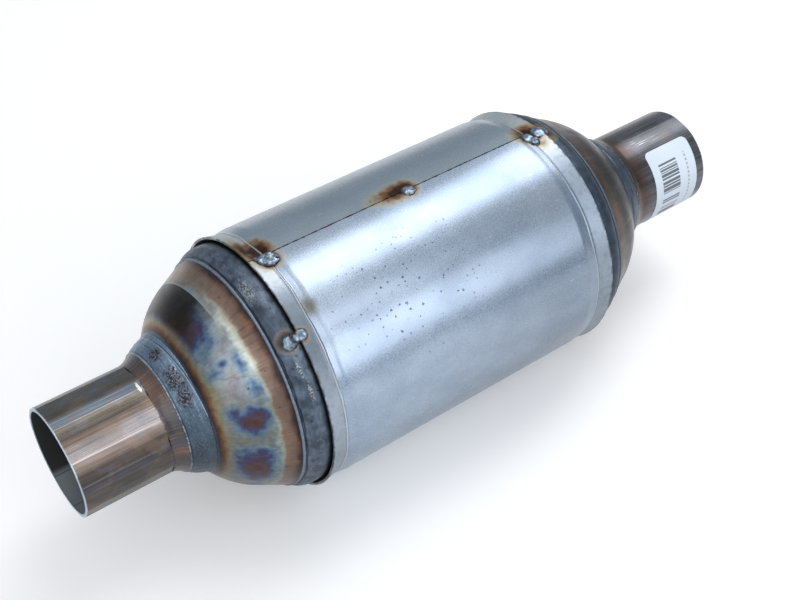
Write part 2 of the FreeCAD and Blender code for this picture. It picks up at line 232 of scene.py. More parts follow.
class Finish(Tree):
    """One finish, painted layer over layer on a Principled shader.

    Patterns are laid out in millimetres: `along` the axis from the inlet's mouth, `angle` in degrees
    from the top towards the front, `radius` from the axis, and `sheet`, the skin rolled out flat.
    """

    def __init__(self, name, colour, roughness, metallic=1.0, rolled_radius=50.0):
        self.material = bpy.data.materials.new(name)
        super().__init__(self.material)
        self.shader = self.nodes["Principled BSDF"]
        self.set(self.shader.inputs["Metallic"], metallic)
        self.colour = rgba(colour)
        self.roughness = roughness
        self.normal = None
        place = self.add("TexCoord").outputs["Object"]
        self.place = self.add("Mapping", Vector=place, Scale=(1 / MM,) * 3).outputs[0]
        split = self.add("SeparateXYZ", Vector=self.place).outputs
        self.along, across, up = (Wire(self, socket) for socket in split)
        self.radius = self.math("SQRT", across * across + up * up)
        self.angle = self.math("DEGREES", self.math("ARCTAN2", across * -1, up))
        self.per_degree = rolled_radius * math.pi / 180
        rolled = self.angle * self.per_degree
        self.sheet = self.add("CombineXYZ", X=self.along, Y=rolled).outputs[0]

    def rise(self, value, low, high, bottom=0.0, top=1.0):
        """A smooth step from bottom at low to top at high."""
        node = self.add(
            "MapRange", {"interpolation_type": "SMOOTHSTEP"}, Value=value,
            From_Min=low, From_Max=high, To_Min=bottom, To_Max=top,
        )
        return Wire(self, node.outputs[0])

    def hump(self, value, centre, half, edge):
        """1 within half of centre, and 0 past the soft edge."""
        return self.rise(abs(value - centre), half + edge, half - edge)

    def noise(self, size, stretch=(1, 1, 1), detail=3, shift=0, flat=False, distortion=0):
        """Cloudy noise about 0.5, with features of that size in millimetres."""
        scale = tuple(s / size for s in stretch)
        source = self.sheet if flat else self.place
        spread = self.add("Mapping", Vector=source, Location=(shift,) * 3, Scale=scale).outputs[0]
        node = self.add("TexNoise", Vector=spread, Scale=1.0, Detail=detail, Distortion=distortion)
        return Wire(self, node.outputs[0])

    def blots(self, low, high, *noise, **settings):
        """1 in the patches where a noise is past high, 0 where it is short of low."""
        return self.rise(self.noise(*noise, **settings), low, high)

    def specks(self, spacing, size, share, shift=0, stretch=(1, 1)):
        """Scattered spots: one to a cell of that spacing, in that share of the cells."""
        scale = (stretch[0] / spacing, stretch[1] / spacing, 1)
        spread = self.add("Mapping", Vector=self.sheet, Location=(shift, shift, 0), Scale=scale).outputs[0]
        cells = self.add("TexVoronoi", {"voronoi_dimensions": "2D"}, Vector=spread, Scale=1.0)
        colour = self.add("SeparateColor", Color=cells.outputs["Color"])
        kept = self.math("LESS_THAN", Wire(self, colour.outputs[0]), share)
        grown = Wire(self, colour.outputs[1]) * 0.7 + 0.5
        edge = Wire(self, cells.outputs["Distance"]) * spacing / grown
        return self.rise(edge + (self.noise(0.6, detail=4) - 0.5) * size * 3.4, size, size * 0.5) * kept

    def spot(self, x, angle, long, wide, ragged=0.5, back=None, grain=4):
        """0 at a place on the skin, 1 at a ragged oval round it; back is its reach towards the inlet."""
        ahead = (self.along - x) / long
        if back:
            ahead = self.math("MAXIMUM", ahead, (x - self.along) / back)
        aside = (self.angle - angle) * (self.per_degree / wide)
        distance = self.math("SQRT", ahead * ahead + aside * aside)
        return distance + (self.noise(grain, detail=4) - 0.5) * ragged

    def spots(self, places, ragged, grain):
        """Distance to the nearest of some spots, each (x, angle, long, wide)."""
        return self.nearest(*(self.spot(*place, ragged, grain=grain) for place in places))

    def nearest(self, *distances):
        least = distances[0]
        for other in distances[1:]:
            least = self.math("MINIMUM", least, other)
        return least

    def mix(self, share, a, b, how="MIX"):
        node = self.add("Mix", {"data_type": "RGBA", "blend_type": how})
        for index, value in ((0, share), (6, a), (7, b)):
            self.set(node.inputs[index], value)
        return node.outputs[2]

    def paint(self, share, colour):
        """A layer over what is there, where share is above 0; three numbers are a display colour."""
        if isinstance(colour, tuple) and len(colour) == 3:
            colour = rgba(tone(*colour))
        self.colour = self.mix(share, self.colour, colour)

    def shade(self, value, first, last, low=0.3, high=0.7):
        """Multiplies what is there, by first to last as value goes from low to high."""
        level = self.rise(value, low, high, first, last)
        grey = self.add("CombineXYZ", X=level, Y=level, Z=level).outputs[0]
        self.colour = self.mix(1.0, self.colour, grey, "MULTIPLY")

    def matt(self, share, roughness):
        """A new roughness where share is above 0."""
        start = self.roughness
        self.roughness = share * (roughness - start) + start

    def emboss(self, height, depth):
        """Relief of that depth in millimetres, where height goes from 0 to 1."""
        node = self.add("Bump", Height=height, Distance=depth * MM, Strength=1.0)
        if self.normal:
            self.set(node.inputs["Normal"], self.normal)
        self.normal = node.outputs[0]

    def done(self):
        self.set(self.shader.inputs["Base Color"], self.colour)
        self.set(self.shader.inputs["Roughness"], self.roughness)
        if self.normal:
            self.set(self.shader.inputs["Normal"], self.normal)
        return self.material


def dress(piece, material):
    """Gives a piece this one material."""
    piece.data.materials.clear()
    piece.data.materials.append(material)


def dress_node(node, material):
    dress(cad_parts[node], material)


SCORCH = (
    (0.0, (38, 27, 22)), (0.3, (62, 43, 32)), (0.48, (94, 68, 42), 0.92), (0.63, (136, 108, 66), 0.74),
    (0.8, (170, 156, 118), 0.42), (1.0, (180, 178, 160), 0.0),
)
TEMPER = (
    (0.0, (62, 46, 40)), (0.2, (86, 60, 52)), (0.36, (76, 58, 80)), (0.48, (60, 72, 112)),
    (0.62, (88, 118, 146), 0.9), (0.8, (144, 170, 178), 0.5), (1.0, (190, 196, 190), 0.0),
)
BACK_PATCHES = (66.0, 136), (64.0, 176), (65.0, -146), (64.0, -104)  # x and angle of the temper marks behind


def scorch(finish, *distances, share=1.0):
    """Brown to straw heat marks round welds, fading out a little past a distance of 1."""
    distance = finish.nearest(*distances) * 0.82
    colour, cover = finish.ramp(distance, *SCORCH)
    finish.paint(cover * share, colour)
    finish.paint(finish.hump(distance, 0.47, 0.04, 0.1) * (0.36 * share * share), (156, 98, 38))
    finish.matt(cover, 0.5)


def shield_finish(colours):
    finish = Finish("aluminised_shield", colours.shield, 0.26, rolled_radius=SHIELD_RADIUS)
    cloud = finish.noise(26, (0.6, 1, 1))
    grain = finish.noise(0.7, detail=2)
    finish.paint(finish.rise(cloud, 0.4, 0.62), rgba(colours.shield_dull))
    finish.shade(grain, 0.93, 1.05)
    finish.shade(finish.noise(9, (0.7, 1, 1), detail=5, shift=21), 0.95, 1.05)
    from_middle = abs(finish.along - MIDDLE)
    skirt = finish.rise(from_middle, GROOVE - 0.4, GROOVE + 0.6)
    # Painted highlight: the skirts lighter towards the top.
    finish.paint(skirt * finish.rise(finish.angle, 24, 8) * 0.5, (226, 228, 222))
    # Painted shade: the skirts darker from about 20° down, most from 28° to 42°; the outlet skirt only a
    # little.
    painted_skirt_shade = finish.rise(finish.angle, 12, 28) * (1 - finish.rise(finish.angle, 42, 76) * 0.75)
    painted_skirt_shade = painted_skirt_shade * finish.rise(finish.along, MIDDLE + 1, MIDDLE, 0.12, 1)
    finish.paint(skirt * painted_skirt_shade * 0.56, (74, 78, 78))
    # Painted light: the skirts a little lighter again low down.
    finish.paint(skirt * finish.rise(finish.angle, 44, 76) * 0.14, (196, 196, 186))
    finish.paint(skirt * finish.blots(0.5, 0.66, 2.6, detail=5, shift=11) * 0.24, (104, 108, 108))
    # Painted light and shade: from about 27° down, lighter towards the inlet end and darker towards the
    # outlet end.
    slope = (finish.along - MIDDLE) * finish.rise(finish.angle, 20, 34)
    finish.shade(slope, 1.16, 0.86, -60, 66)
    # Painted shade: darker towards the bottom.
    finish.shade(finish.angle, 1, 0.82, 62, 116)
    # Painted shade: the sheet behind the seam, which faces away from the light, painted duller.
    behind = finish.rise(finish.angle, SEAM_ANGLE + 0.4, SEAM_ANGLE - 0.4)
    finish.paint(behind * 0.5, (150, 160, 160))
    near_seam = finish.hump(finish.angle, SEAM_ANGLE, 0.4, 0.3)
    broken = finish.blots(0.44, 0.58, 2.2, detail=4)
    finish.paint(near_seam * broken, (88, 66, 48))
    clustered = finish.rise(finish.spot(144, 42, 52, 30, 1.4, grain=16), 1.05, 0.3)
    pits = finish.specks(3.4, 0.5, 0.36) * clustered
    finish.paint(pits * 0.85, (78, 76, 82))
    specks = finish.specks(2, 0.2, 0.12, shift=3.1) * (clustered * 0.7 + 0.2)
    finish.paint(specks * 0.7, (96, 90, 88))
    streak = finish.specks(9, 0.35, 0.3, shift=7.7, stretch=(0.3, 1.6))
    finish.paint(streak * 0.35, (236, 240, 244))
    smoke = finish.spot(102.2, 30.6, 4.2, 6, 0.8)
    finish.paint(finish.rise(smoke, 1.1, 0.1) * 0.75, (100, 88, 60))
    lip = finish.rise(from_middle, SHIELD_HALF - 0.9, SHIELD_HALF - 0.2)
    finish.paint(lip * finish.blots(0.42, 0.55, 3, detail=4) * 0.7, (90, 84, 78))
    scorch(
        finish,
        finish.spot(170.4, 0.2, 6.6, 6.8, 0.7, back=19, grain=3),
        finish.spot(99.6, -2.6, 7, 10.6, 0.8, back=9.4, grain=3),
        finish.spot(94.4, -7, 3.6, 11, 0.8, grain=3) * 0.7 + 0.26,
        finish.spot(100, 4.6, 6.6, 5.6, 0.4, grain=2) * 0.9 + 0.14,
        finish.spot(93.4, 39.6, 2.8, 2.8, 0.6, grain=2) * 0.8,
        finish.spot(239.6, 9.5, 4, 3.4, 0.8, grain=2) * 0.4 + 0.66,
        finish.spot(238.5, 1, 7.6, 8.6, 0.7, back=9, grain=3),
    )
    swerve = from_middle + (finish.noise(14, detail=1, shift=5) - 0.5) * 1.4
    crest = finish.hump(swerve, GROOVE, 0.25, 0.25)
    # Painted highlight along the crests of the holding grooves, and painted shade in a thin line just
    # outside them.
    finish.paint(crest * 0.6, (222, 228, 230))
    finish.paint(finish.hump(swerve, GROOVE + 0.7, 0.12, 0.3) * 0.5, (92, 98, 104))
    trough = finish.rise(swerve, GROOVE, GROOVE - 0.8)
    trough = trough * finish.rise(swerve, GROOVE - 6, GROOVE - 2.4)
    finish.matt(finish.rise(grain, 0.35, 0.65), 0.31)
    finish.matt(skirt, 0.46)
    finish.emboss(crest, 0.2)
    finish.emboss(trough * -1, 0.35)
    finish.emboss(finish.noise(38, (0.4, 1, 1), detail=1), 0.7)
    finish.emboss(grain, 0.012)
    finish.emboss(pits * -1, 0.05)
    return finish.done()


def can_finish(colours):
    finish = Finish("scaled_can", colours.can, 0.42, rolled_radius=CAN_RADIUS)
    from_middle = abs(finish.along - MIDDLE)
    fine = finish.noise(1.1)
    brushed = finish.noise(2.2, (2, 0.6, 0.6), detail=4)
    finish.shade(finish.noise(6, detail=5), 0.6, 1.24, 0.32, 0.68)
    finish.shade(brushed, 0.84, 1.14)
    scuffs = finish.blots(0.56, 0.7, 3.2, (1.4, 1, 1), detail=5, shift=4)
    finish.paint(scuffs * 0.34, rgba(colours.can_worn))
    # Painted shade: the can darker about 29° down, towards the inlet end.
    painted_flank_shade = finish.hump(finish.angle, 29, 9, 12) * finish.rise(finish.along, MIDDLE, 0)
    finish.paint(painted_flank_shade * 0.52, (44, 50, 58))
    stipple = finish.blots(0.46, 0.6, 0.7, detail=2, shift=2)
    worn = finish.spots(((85.4, 12, 3, 8), (87.6, 51, 1.4, 5), (88.6, 62, 1.2, 6)), 1, 2)
    finish.paint(finish.rise(worn, 1.1, 0.2) * stipple * 0.7, (176, 180, 182))
    finish.paint(finish.specks(3, 0.5, 0.22, shift=1.7) * 0.7, (36, 34, 36))
    shaded = finish.rise(from_middle, SHIELD_HALF + 1.6, SHIELD_HALF - 0.8)
    finish.paint(shaded * 0.85, (20, 20, 22))
    wander = (finish.noise(7, detail=2) - 0.5) * 1.2
    outlet = finish.rise(finish.along, MIDDLE, MIDDLE + 1)
    finish.paint(outlet * 0.65, (34, 44, 56))
    # Painted shade: a dark wavy line in the crease where each ring bead meets the can.
    toe = finish.hump(from_middle + wander, MIDDLE - BEAD_END - 0.4, 0.24, 0.16)
    finish.paint(toe * 0.7, (22, 24, 28))
    scorch(
        finish,
        finish.spot(87.8, 39.4, 3.3, 3.5, 0.6, grain=2) * 1.05 - 0.5,
        finish.spot(247.6, 3, 3.6, 6.4, 0.8, grain=2),
        share=0.5,
    )
    finish.matt(finish.rise(fine, 0.3, 0.7), 0.52)
    finish.emboss(fine, 0.06)
    return finish.done()


def inlet_cone_finish(colours):
    finish = Finish("tempered_inlet_cone", colours.cone, 0.27, rolled_radius=CONE_RADIUS)
    start, length = WELD_END, BEAD_START - WELD_END
    coarse, small = finish.noise(9, detail=2), finish.noise(2.4, detail=4)
    place = (finish.along - start) / length
    wander = (coarse - 0.5) * 0.2 + (small - 0.5) * 0.12
    drift = wander * finish.rise(place, 0, 0.4, 0.15, 1) * finish.rise(place, 0.62, 0.8, 1, 0.7)
    rings = finish.ramp(
        place + drift,
        (0, (74, 88, 106)), (0.015, (50, 50, 62)), (0.03, (70, 48, 44)), (0.055, (106, 72, 54)),
        (0.08, (134, 108, 76)), (0.115, (146, 138, 108)), (0.2, (142, 142, 138)), (0.5, (138, 136, 146)),
        (0.66, (148, 164, 172)), (0.725, (176, 184, 178)), (0.755, (170, 158, 136)), (0.78, (140, 118, 104)),
        (0.9, (122, 100, 90)), (0.95, (90, 66, 58)), (0.985, (42, 38, 44)),
    )[0]
    finish.paint(0.88, rings)
    pale = finish.hump(finish.angle + (coarse - 0.5) * 20, 30, 16, 12)
    uneven = (finish.noise(5, shift=17) - 0.5) * 0.16
    finish.paint(pale * finish.hump(place + drift + uneven, 0.68, 0.06, 0.08) * 0.85, (216, 218, 202))
    upper = finish.rise(finish.angle + (coarse - 0.5) * 30, 16, -10)
    finish.paint(upper * finish.hump(place, 0.74, 0.14, 0.06) * 0.85, (128, 112, 98))
    glow = finish.blots(0.54, 0.68, 5, (0.4, 1, 1), detail=4, shift=6)
    finish.paint(glow * finish.hump(place, 0.92, 0.03, 0.05) * 0.6, (168, 110, 66))
    # a broad mark on top, small and broad ones down the front, and plain ones behind
    patches = finish.nearest(
        finish.spot(61, -5, 11.6, 35, 0.6, grain=6),
        finish.spot(64.4, 34, 4.6, 4, 0.6, grain=3) * 0.6 + 0.4,
        finish.spot(60.8, 36.5, 5.4, 6.8, 0.6, grain=4) * 0.42 + 0.53,
        finish.spot(69.8, 37.5, 3.6, 9, 0.6, grain=4) * 0.42 + 0.52,
        finish.spot(71, 52, 5.6, 7.4, 0.6, grain=4) * 0.46 + 0.48,
        finish.spot(66.4, 68, 11, 10.2, 0.8, grain=6),
        finish.spot(61.4, 62, 5.6, 7, 0.6, grain=3) * 0.6 + 0.36,
        finish.spot(65, 102, 12.4, 21, 0.8, grain=7),
        finish.spots([(x, angle, 9, 15) for x, angle in BACK_PATCHES], 1, 6),
    )
    colour, cover = finish.ramp(patches + (small - 0.5) * 0.14, *TEMPER)
    finish.paint(cover * finish.rise(place, 0.06, 0.2) * finish.rise(place + drift, 0.8, 0.7) * 0.9, colour)
    olive = finish.rise(finish.angle + (coarse - 0.5) * 24, 50, 62) * finish.rise(patches, 0.5, 0.85)
    finish.paint(olive * finish.hump(place + drift, 0.42, 0.3, 0.1) * 0.62, (96, 98, 88))
    for angle, slope in ((43, -14), (57, 10), (79.5, 6)):
        swerve = finish.angle + (place - 0.45) * slope + (small - 0.5) * 5
        rim = finish.hump(swerve, angle, 0.2, 0.7) * finish.hump(place, 0.45, 0.26, 0.08)
        finish.paint(rim * 0.6, (124, 102, 66))
    # Painted reflection: the dome dark on top and behind, where it mirrors darker surroundings.
    dome_dark_reflection = finish.hump(finish.angle + (coarse - 0.5) * 40, -34, 38, 16)
    dome = finish.rise(finish.along, CONE_CREASE + 0.2, CONE_CREASE - 0.2)
    dome_dark_reflection = dome_dark_reflection * dome * finish.rise(place + drift, 0.08, 0.2)
    finish.paint(dome_dark_reflection * 0.95, (44, 40, 35))
    combed = finish.noise(0.9, (0.08, 1, 1), detail=4, flat=True)
    finish.shade(combed, 0.93, 1.07)
    finish.shade(small, 0.86, 1.08)
    # Painted shade: darker towards the bottom.
    finish.shade(finish.angle, 1, 0.78, 36, 92)
    lipped = finish.rise(place, 0.72, 0.8)
    ribs = finish.noise(1.6, (0.1, 1, 1), detail=4, flat=True, shift=3)
    finish.paint(lipped * finish.rise(ribs, 0.42, 0.34) * 0.4, (80, 62, 56))
    # Painted highlight: a thin light line along the edge between dome and lip, near the top.
    crease_highlight = finish.hump(finish.along, CONE_CREASE + 0.05, 0.05, 0.1)
    finish.paint(crease_highlight * finish.rise(abs(finish.angle + 16), 36, 18) * 0.7, (214, 204, 176))
    finish.paint(finish.specks(7, 0.5, 0.25, shift=4.2) * 0.6, (60, 44, 48))
    finish.matt(finish.blots(0.3, 0.7, 5, detail=4), 0.33)
    finish.emboss(combed * lipped, 0.03)
    return finish.done()


def outlet_cone_finish(colours):
    finish = Finish("scorched_outlet_cone", colours.cone_far, 0.28, rolled_radius=CONE_RADIUS)
    start = 2 * MIDDLE - BEAD_START
    length = BEAD_START - WELD_END
    drift = (finish.noise(9) - 0.5) * 4
    place = (finish.along + drift - start + 1) / length
    rings = finish.ramp(
        place,
        (0, (42, 42, 46)), (0.05, (62, 46, 38)), (0.13, (94, 66, 48)), (0.22, (84, 64, 50)),
        (0.32, (56, 48, 44)), (0.48, (36, 36, 38)), (0.62, (44, 44, 48)), (0.74, (84, 84, 86)),
        (0.84, (50, 48, 52)), (0.94, (44, 44, 52)), (1, (48, 56, 68)),
    )[0]
    finish.paint(0.88, rings)
    finish.shade(finish.noise(12, detail=4, shift=6), 0.58, 1.02, 0.35, 0.65)
    streaks = finish.noise(3, (0.12, 1, 1), detail=4, flat=True)
    finish.paint(finish.rise(streaks, 0.54, 0.7) * 0.35, (116, 104, 90))
    combed = finish.noise(0.8, (0.1, 1, 1), flat=True)
    finish.shade(combed, 0.84, 1.14)
    finish.matt(finish.blots(0.3, 0.7, 4, detail=4), 0.36)
    finish.emboss(combed, 0.02)
    return finish.done()


def bead_finish(colours):
    finish = Finish("ring_bead", colours.bead, 0.5, rolled_radius=BEAD_RADIUS)
    finish.shade(finish.noise(1.4, detail=4), 0.84, 1.12)
    outlet = finish.rise(finish.along, MIDDLE, MIDDLE + 1)
    finish.paint(outlet * 0.6, (58, 70, 84))
    finish.emboss(finish.noise(0.5), 0.03)
    return finish.done()


def neck_weld_finish(colours, soot_and_shade):
    """Slate-blue weld band: burnt, with a slanting line, and painted light and shade from a lighter top to a
    darker bottom, where the switch is 1; plain and darker where it is 0.
    """
    finish = Finish("neck_weld", colours.weld, 0.36, rolled_radius=WELD_RADIUS)
    broad = finish.noise(4.5, (1, 0.5, 0.5), detail=5)
    fine = finish.noise(1, (2.5, 1, 1), detail=4)
    finish.shade(broad, 0.74, 1.22)
    finish.paint(finish.rise(fine, 0.52, 0.68) * 0.3, (168, 184, 196))
    finish.paint(finish.blots(0.56, 0.7, 3, detail=4, shift=8) * 0.3, (110, 140, 140))
    curls = finish.noise(3.4, distortion=3)
    burnt = finish.spots(((48.3, -5, 3, 4), (49, 22, 3.4, 6.6), (49.2, 40, 3, 5)), 1.5, 2.4)
    patch = finish.rise(burnt, 1.15, 0.5) * soot_and_shade
    if soot_and_shade:
        # Painted light and shade: lighter at the top, darker at the bottom.
        finish.shade(finish.angle, 1.3, 0.54, 4, 96)
    else:
        finish.paint(0.6, (40, 50, 62))
    finish.paint(patch * 0.55, (50, 52, 62))
    finish.paint(patch * finish.rise(curls, 0.56, 0.42) * 0.8, (40, 38, 46))
    finish.paint(patch * finish.hump(curls, 0.56, 0.02, 0.03) * 0.6, (176, 164, 162))
    from_middle = abs(finish.along - MIDDLE)
    toe = MIDDLE - WELD_START
    mark = from_middle + (finish.angle - 8) * (0.03 * soot_and_shade) - (toe - 8.3)
    # Painted highlight and painted shade: a light line and a dark line beside it on the band's fine groove.
    finish.paint(finish.hump(mark, 0, 0.1, 0.14) * 0.7, (176, 190, 202))
    finish.paint(finish.hump(mark, -0.4, 0.12, 0.14) * 0.8, (36, 44, 54))
    # Painted highlight: broken glints along the torn edge on the pipe.
    torn = finish.blots(0.46, 0.56, 1.3, detail=4, shift=5)
    edge = finish.hump(from_middle, toe - 0.45, 0.18, 0.2)
    finish.paint(edge * torn * 0.6, (190, 196, 200))
    # Painted shade: a dark line just inside the torn edge's glints.
    under = finish.hump(from_middle, toe - 1, 0.2, 0.2)
    finish.paint(under * 0.7, (36, 38, 44))
    finish.emboss(curls * patch, 0.3)
    finish.emboss(finish.noise(0.6), 0.03)
    return finish.done()


def pipe_finish(name, colour, dark, inlet):
    """Drawn tube: fine lines along it, a heat-browned flare, and a dark wall inside."""
    finish = Finish(name, colour, 0.25, rolled_radius=PIPE_RADIUS)
    from_mouth = finish.along if inlet else MOUTH_END - finish.along
    broad = finish.noise(3.4, (0.03, 1, 1), flat=True)
    lines = finish.noise(0.6, (0.02, 1, 1), detail=4, flat=True, shift=2)
    cloud = finish.noise(12, (0.5, 1, 1), detail=4)
    if inlet:
        # Tints across the drawn tube by angle; the light band about 39° to 49° down is a painted highlight.
        turned = (finish.angle + (cloud - 0.5) * 3 + 20) / 140
        around = finish.ramp(
            turned,
            (0, (92, 92, 90)), (0.15, (98, 96, 86)), (0.17, (120, 134, 148)), (0.22, (120, 132, 144)),
            (0.24, (112, 108, 96)), (0.31, (92, 86, 80)), (0.36, (124, 108, 98)), (0.42, (148, 142, 142)),
            (0.49, (156, 146, 144)), (0.53, (112, 98, 90)), (0.66, (72, 67, 64)), (0.7, (62, 68, 82)),
            (0.75, (84, 79, 75)), (1, (86, 84, 84)),
        )[0]
        finish.paint(0.9, around)
        # Painted highlight: a soft pale patch about 41° down, near the flare.
        pipe_highlight = finish.rise(finish.spot(28, 41, 16, 6.4, 0.7, grain=6), 1, 0.1)
        finish.paint(pipe_highlight * 0.18, (206, 204, 206))
    finish.paint(finish.rise(broad, 0.48, 0.66) * 0.6, rgba(dark))
    finish.shade(lines, 0.78, 1.18)
    finish.shade(cloud, 0.82, 1.16)
    finish.paint(finish.blots(0.52, 0.66, 9, shift=5) * (0.25 if inlet else 0.06), (140, 116, 100))
    finish.paint(finish.blots(0.54, 0.68, 7, shift=9) * 0.2, (112, 116, 140))
    if inlet:
        fading = finish.rise(from_mouth + (cloud - 0.5) * 20, FLAT_END, FLAT_END - 14)
        # Light and dark lines along the expanded grip, fading towards the flare; the light ones are painted
        # highlights on the grip's facets.
        for angle, half, display, share in (
            (4.6, 0.4, (190, 200, 208), 0.5), (12.6, 0.35, (190, 194, 198), 0.4),
            (25, 0.7, (70, 64, 64), 0.6), (31, 0.5, (70, 62, 62), 0.5),
            (48.6, 0.4, (214, 208, 202), 0.45), (50.8, 0.4, (78, 72, 78), 0.5),
            (75, 0.35, (156, 150, 150), 0.4), (93, 1, (72, 74, 82), 0.4),
        ):
            line = finish.hump(finish.angle + (lines - 0.5) * 2, angle, half, 0.4)
            finish.paint(line * share * fading, display)
        # Painted shade: dark ends of the pressed segments at the step to the flare, dented in the relief as
        # well.
        wobble = (finish.noise(5, shift=3) - 0.5) * 1.4
        marks = finish.hump(from_mouth + wobble, FLAT_END, 0.3, 0.3)
        pressed = finish.blots(0.44, 0.52, 7, (0.1, 1, 1), flat=True)
        finish.paint(marks * pressed * 0.7, (44, 42, 46))
        glint = finish.rise(finish.spot(37, 10, 0.9, 3, 1.2, grain=1.2), 0.9, 0.5)
        finish.paint(glint * 0.9, (236, 236, 232))
        finish.emboss(1 - marks * pressed, 0.12)
    flare = finish.rise(from_mouth, FLAT_END - 0.3, FLAT_END + 0.6)
    if inlet:
        ribs = finish.noise(0.9, (0.06, 1, 1), flat=True, shift=5)
        finish.paint(flare * 0.9, (84, 80, 82))
        coppery = finish.hump(finish.angle + (cloud - 0.5) * 30, 14, 24, 16)
        coppery = coppery + finish.hump(finish.angle, 86, 6, 6)
        finish.paint(flare * coppery * 0.7, (112, 90, 78))
        finish.paint(flare * finish.rise(ribs, 0.5, 0.66) * 0.25, (160, 144, 130))
        finish.paint(flare * finish.hump(finish.angle, 78, 3, 3) * 0.7, (84, 84, 92))
    else:
        warm = finish.rise(from_mouth + (finish.noise(8) - 0.5) * 8, 32, 43)
        finish.paint(warm * 0.8, (80, 60, 48))
        scratched = finish.noise(0.5, (0.03, 1, 1), detail=2, flat=True, shift=7)
        rubbed = finish.rise(finish.spot(312, 12, 13, 5, 0.6), 1, 0.4)
        finish.paint(rubbed * finish.rise(scratched, 0.6, 0.68) * 0.8, (196, 196, 196))
    finish.matt(finish.rise(lines, 0.35, 0.65), 0.31)
    finish.emboss(lines, 0.02)
    finish.emboss(broad, 0.05)
    inside = finish.rise(finish.radius, PIPE_BORE + 1, PIPE_BORE + 0.6)
    # Painted light: the lower inner wall lighter, where light comes in at the mouth.
    under = finish.rise(finish.angle, -142, -151) + finish.rise(finish.angle, 110, 140)
    finish.paint(inside, (56, 58, 60))
    finish.paint(inside * under, (150, 158, 162))
    for angle in (-150, 167):
        seam = finish.hump(finish.angle, angle, 0.4, 0.3)
        finish.paint(inside * seam * 0.8, (26, 28, 32))
    finish.matt(inside, 0.45)
    finish.set(finish.shader.inputs["Metallic"], 1 - inside * finish.rise(from_mouth, 0.2, 0.9) * 0.6)
    lip = finish.rise(from_mouth, 0.5, 0.15)
    finish.paint(lip, (164, 176, 188))
    return finish.done()


def tack_finish(colours):
    finish = Finish("tack_metal", colours.tack, 0.3, rolled_radius=SHIELD_RADIUS)
    finish.shade(finish.noise(2.2, detail=5), 0.4, 1.25, 0.32, 0.68)
    finish.paint(finish.blots(0.6, 0.7, 1.2, detail=4, shift=3) * 0.7, (44, 46, 54))
    finish.paint(finish.blots(0.62, 0.72, 0.9, detail=4, shift=9) * 0.5, (222, 230, 236))
    # Painted shade: black pores in two of the tacks.
    pore_shade = finish.spots(((103, 6, 0.8, 0.6), (94.4, 42, 0.7, 0.7)), 0.3, 1)
    finish.paint(finish.rise(pore_shade, 1.1, 0.8), (20, 16, 18))
    glint = finish.rise(finish.spot(101.6, 2.4, 0.8, 0.5, 0.5, grain=1), 1, 0.6)
    finish.paint(glint, (240, 244, 246))
    height = finish.radius - SHIELD_RADIUS
    foot = finish.rise(height + (finish.noise(1.5) - 0.5) * 0.5, 0.1, -0.4)
    finish.paint(foot * finish.hump(height, -0.3, 0.5, 0.2) * 0.8, (40, 38, 42))
    finish.emboss(finish.noise(0.6, detail=2), 0.03)
    return finish.done()


def label_finish(colours):
    finish = Finish("paper_label", colours.label, 0.42, metallic=0, rolled_radius=LABEL_RADIUS)
    finish.shade(finish.noise(12), 0.97, 1.02)
    step = finish.math("FLOOR", finish.angle / 1.15)
    chance = finish.add("TexWhiteNoise", {"noise_dimensions": "1D"}, W=step).outputs[0]
    printed = finish.math("LESS_THAN", Wire(finish, chance), 0.52)
    # Painted shade: darker towards the bottom.
    finish.shade(finish.angle, 1, 0.8, 64, 116)
    width = LABEL_END - LABEL_START
    block = finish.hump(finish.along, LABEL_START + width * 0.38, width * 0.21, 0.08)
    block = block * finish.hump(finish.angle, 82, 36, 0.2)
    finish.paint(block * printed * 0.9, rgba(colours.bars))
    dash = finish.math("LESS_THAN", finish.math("FRACT", finish.angle / 5.2), 0.62)
    row = finish.hump(finish.along, LABEL_START + width * 0.8, 0.5, 0.08)
    row = row * finish.hump(finish.angle, 78, 34, 0.2)
    finish.paint(row * dash * 0.6, (120, 126, 134))
    edge = finish.rise(finish.along, LABEL_END - 0.5, LABEL_END)
    finish.paint(edge * 0.3, (180, 190, 200))
    return finish.done()


def ceramic_finish(colours):
    finish = Finish("coated_ceramic", colours.ceramic, 0.8, metallic=0)
    finish.shade(finish.noise(9, detail=4), 0.8, 1.1)
    finish.emboss(finish.noise(0.3, detail=2), 0.02)
    return finish.done()


def fibre_finish():
    finish = Finish("support_mat_fibre", tone(206, 200, 186), 0.95, metallic=0)
    strands = finish.noise(0.8, (0.3, 1, 1), detail=5, distortion=1.5)
    finish.shade(strands, 0.75, 1.08)
    finish.paint(finish.specks(2, 0.4, 0.4) * 0.7, (150, 122, 84))
    finish.emboss(strands, 0.3)
    return finish.done()


def knit_finish():
    finish = Finish("knitted_wire_seal", tone(150, 150, 148), 0.35, rolled_radius=CORE_RADIUS)
    around = finish.angle * finish.per_degree
    waves = [finish.math("SINE", slant * 5) for slant in (finish.along + around, finish.along - around)]
    strands = finish.math("MAXIMUM", *waves) * 0.5 + 0.5
    finish.shade(strands, 0.25, 1.1, 0.2, 0.9)
    finish.emboss(strands, 0.3)
    return finish.done()


# --- modelling


def start_piece():
    """Object mode with nothing selected, so that only the new primitive is worked on."""
    if bpy.context.object and bpy.context.object.mode != "OBJECT":
        bpy.ops.object.mode_set(mode="OBJECT")
    bpy.ops.object.select_all(action="DESELECT")


def keep_place():
    """Leaves the selected objects' place in their meshes and their origins at the part's own."""
    bpy.ops.object.transform_apply(location=True, rotation=True, scale=True)


def apply(piece, kind, **settings):
    """Adds a modifier, sets it up and applies it."""
    modifier = piece.modifiers.new(kind.title(), kind)
    for name, value in settings.items():
        setattr(modifier, name, value)
    bpy.ops.object.modifier_apply(modifier=modifier.name)


